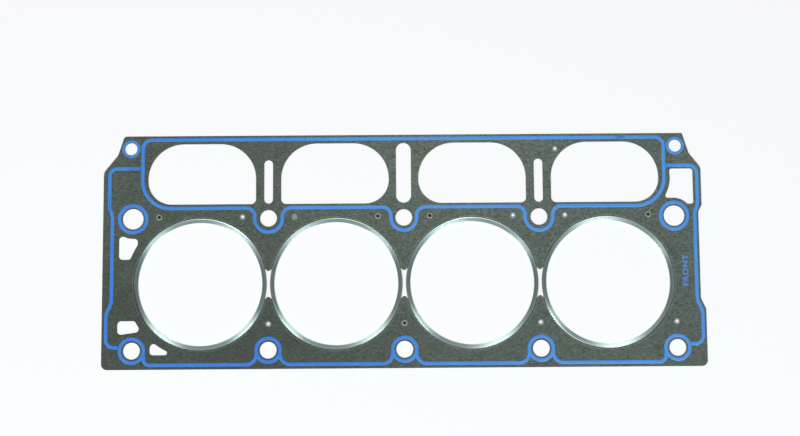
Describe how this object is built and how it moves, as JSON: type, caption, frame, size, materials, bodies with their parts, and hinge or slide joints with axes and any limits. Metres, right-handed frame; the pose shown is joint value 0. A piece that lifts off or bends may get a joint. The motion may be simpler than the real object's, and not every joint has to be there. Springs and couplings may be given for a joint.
{
  "type": "cylinder head gasket",
  "caption": "Flat engine head gasket with steel-edged round bores, soft grey facings, raised blue sealing beads, valley windows and slots",
  "frame": {"origin": "middle of the row of bores, at half the thickness", "axes": "+X along the row of bores towards the end with the large coolant window, +Y towards the edge with the windows, +Z out of the face with the upper beads"},
  "size_m": [0.4959, 0.1941, 0.0016],
  "materials": {
    "core_steel": "plain rolled steel sheet",
    "facing": "matte grey-green composite facing with a fine pressed grain",
    "ring_steel": "thin stainless strip, turned and folded",
    "wire_steel": "flattened steel wire",
    "bead": "smooth blue printed sealing bead",
    "eyelet_steel": "small dull pressed steel eyelets"
  },
  "bodies": {
    "root": {"core_plate": "core_steel", "upper_facing": "facing", "lower_facing": "facing", "fire_ring_1": "ring_steel", "fire_ring_2": "ring_steel", "fire_ring_3": "ring_steel", "fire_ring_4": "ring_steel", "wire_ring_1": "wire_steel", "wire_ring_2": "wire_steel", "wire_ring_3": "wire_steel", "wire_ring_4": "wire_steel", "upper_main_bead": "bead", "lower_main_bead": "bead", "upper_left_dowel_bead": "bead", "upper_left_corner_bead": "bead", "upper_right_dowel_bead": "bead", "upper_right_corner_bead": "bead", "lower_left_dowel_bead": "bead", "lower_left_corner_bead": "bead", "lower_right_dowel_bead": "bead", "lower_right_corner_bead": "bead", "open_eyelets": "eyelet_steel", "closed_rivets": "eyelet_steel"}
  },
  "joints": []
}
